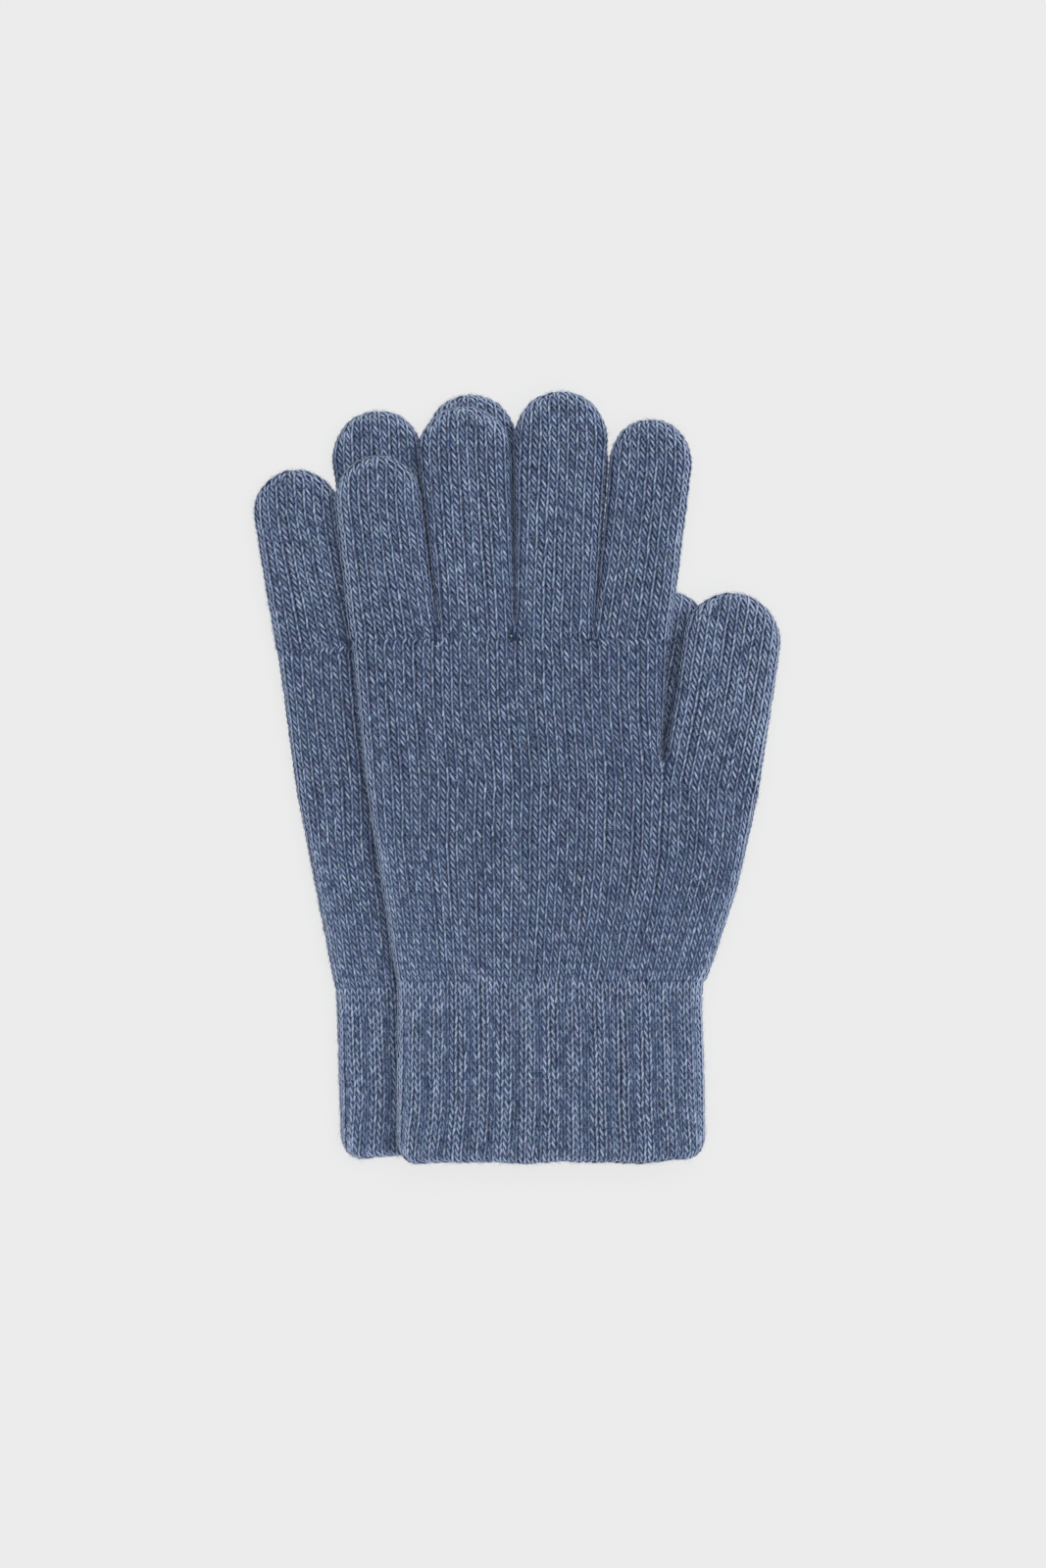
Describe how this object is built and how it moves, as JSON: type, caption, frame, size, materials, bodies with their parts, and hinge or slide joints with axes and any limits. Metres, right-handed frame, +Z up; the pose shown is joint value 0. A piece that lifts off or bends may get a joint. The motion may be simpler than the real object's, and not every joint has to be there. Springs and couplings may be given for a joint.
{
  "type": "pair of knitted gloves",
  "caption": "Pair of seamless knitted gloves with ribbed cuffs, lying flat one on top of the other, with fingers, thumbs and cuffs that bend.",
  "frame": {"origin": "middle of the pair's footprint, on the surface that it lies on", "axes": "+Y towards the fingertips, +X towards the thumbs, +Z up, away from the surface"},
  "size_m": [0.1619, 0.2362, 0.0163],
  "materials": {
    "stocking_knit": "heather blue wool blend, plain stocking stitch, slightly fuzzy",
    "cuff_knit": "the same yarn in a mock rib, held in by elastic",
    "hem_knit": "the same yarn, turned and overedged",
    "elastic_thread": "bare elastic thread, matt"
  },
  "bodies": {
    "lower_hand": {"lower_hand": "stocking_knit"},
    "upper_hand": {"upper_hand": "stocking_knit"},
    "upper_little_finger": {"upper_little_finger": "stocking_knit"},
    "upper_ring_finger": {"upper_ring_finger": "stocking_knit"},
    "upper_middle_finger": {"upper_middle_finger": "stocking_knit"},
    "upper_index_finger": {"upper_index_finger": "stocking_knit"},
    "upper_thumb": {"upper_thumb": "stocking_knit"},
    "upper_cuff": {"upper_cuff": "cuff_knit", "upper_cuff_hem": "hem_knit", "upper_cuff_elastic": "elastic_thread"},
    "lower_little_finger": {"lower_little_finger": "stocking_knit"},
    "lower_ring_finger": {"lower_ring_finger": "stocking_knit"},
    "lower_middle_finger": {"lower_middle_finger": "stocking_knit"},
    "lower_index_finger": {"lower_index_finger": "stocking_knit"},
    "lower_thumb": {"lower_thumb": "stocking_knit"},
    "lower_cuff": {"lower_cuff": "cuff_knit", "lower_cuff_hem": "hem_knit", "lower_cuff_elastic": "elastic_thread"}
  },
  "joints": [
    {"name": "upper_glove_lift", "type": "slide", "parent": "lower_hand", "child": "upper_hand", "axis": [0, 0, 1], "range_m": [0, 0.08]},
    {"name": "upper_little_finger_bend", "type": "hinge", "parent": "upper_hand", "child": "upper_little_finger", "pos_m": [-0.0372, 0.0429, 0.0163], "axis": [1, 0, 0], "range_deg": [0, 90]},
    {"name": "upper_ring_finger_bend", "type": "hinge", "parent": "upper_hand", "child": "upper_ring_finger", "pos_m": [-0.0119, 0.0429, 0.0163], "axis": [1, 0, 0], "range_deg": [0, 90]},
    {"name": "upper_middle_finger_bend", "type": "hinge", "parent": "upper_hand", "child": "upper_middle_finger", "pos_m": [0.0114, 0.0429, 0.0163], "axis": [1, 0, 0], "range_deg": [0, 90]},
    {"name": "upper_index_finger_bend", "type": "hinge", "parent": "upper_hand", "child": "upper_index_finger", "pos_m": [0.0352, 0.0429, 0.0163], "axis": [1, 0, 0], "range_deg": [0, 90]},
    {"name": "upper_thumb_bend", "type": "hinge", "parent": "upper_hand", "child": "upper_thumb", "pos_m": [0.0596, -0.0026, 0.0163], "axis": [0.99, -0.1409, 0], "range_deg": [0, 70]},
    {"name": "upper_cuff_fold", "type": "hinge", "parent": "upper_hand", "child": "upper_cuff", "pos_m": [0.0106, -0.0621, 0.0163], "axis": [-1, 0, 0], "range_deg": [0, 150]},
    {"name": "lower_little_finger_bend", "type": "hinge", "parent": "lower_hand", "child": "lower_little_finger", "pos_m": [-0.06017, 0.04014, 0], "axis": [-0.9993, -0.0366, 0], "range_deg": [0, 90]},
    {"name": "lower_ring_finger_bend", "type": "hinge", "parent": "lower_hand", "child": "lower_ring_finger", "pos_m": [-0.03488, 0.04107, 0], "axis": [-0.9993, -0.0366, 0], "range_deg": [0, 90]},
    {"name": "lower_middle_finger_bend", "type": "hinge", "parent": "lower_hand", "child": "lower_middle_finger", "pos_m": [-0.0116, 0.04192, 0], "axis": [-0.9993, -0.0366, 0], "range_deg": [0, 90]},
    {"name": "lower_index_finger_bend", "type": "hinge", "parent": "lower_hand", "child": "lower_index_finger", "pos_m": [0.01218, 0.04279, 0], "axis": [-0.9993, -0.0366, 0], "range_deg": [0, 90]},
    {"name": "lower_thumb_bend", "type": "hinge", "parent": "lower_hand", "child": "lower_thumb", "pos_m": [0.03823, -0.00178, 0], "axis": [-0.9871, 0.1599, 0], "range_deg": [0, 70]},
    {"name": "lower_cuff_fold", "type": "hinge", "parent": "lower_hand", "child": "lower_cuff", "pos_m": [-0.00855, -0.06304, 0], "axis": [0.9993, 0.0366, 0], "range_deg": [0, 150]}
  ]
}
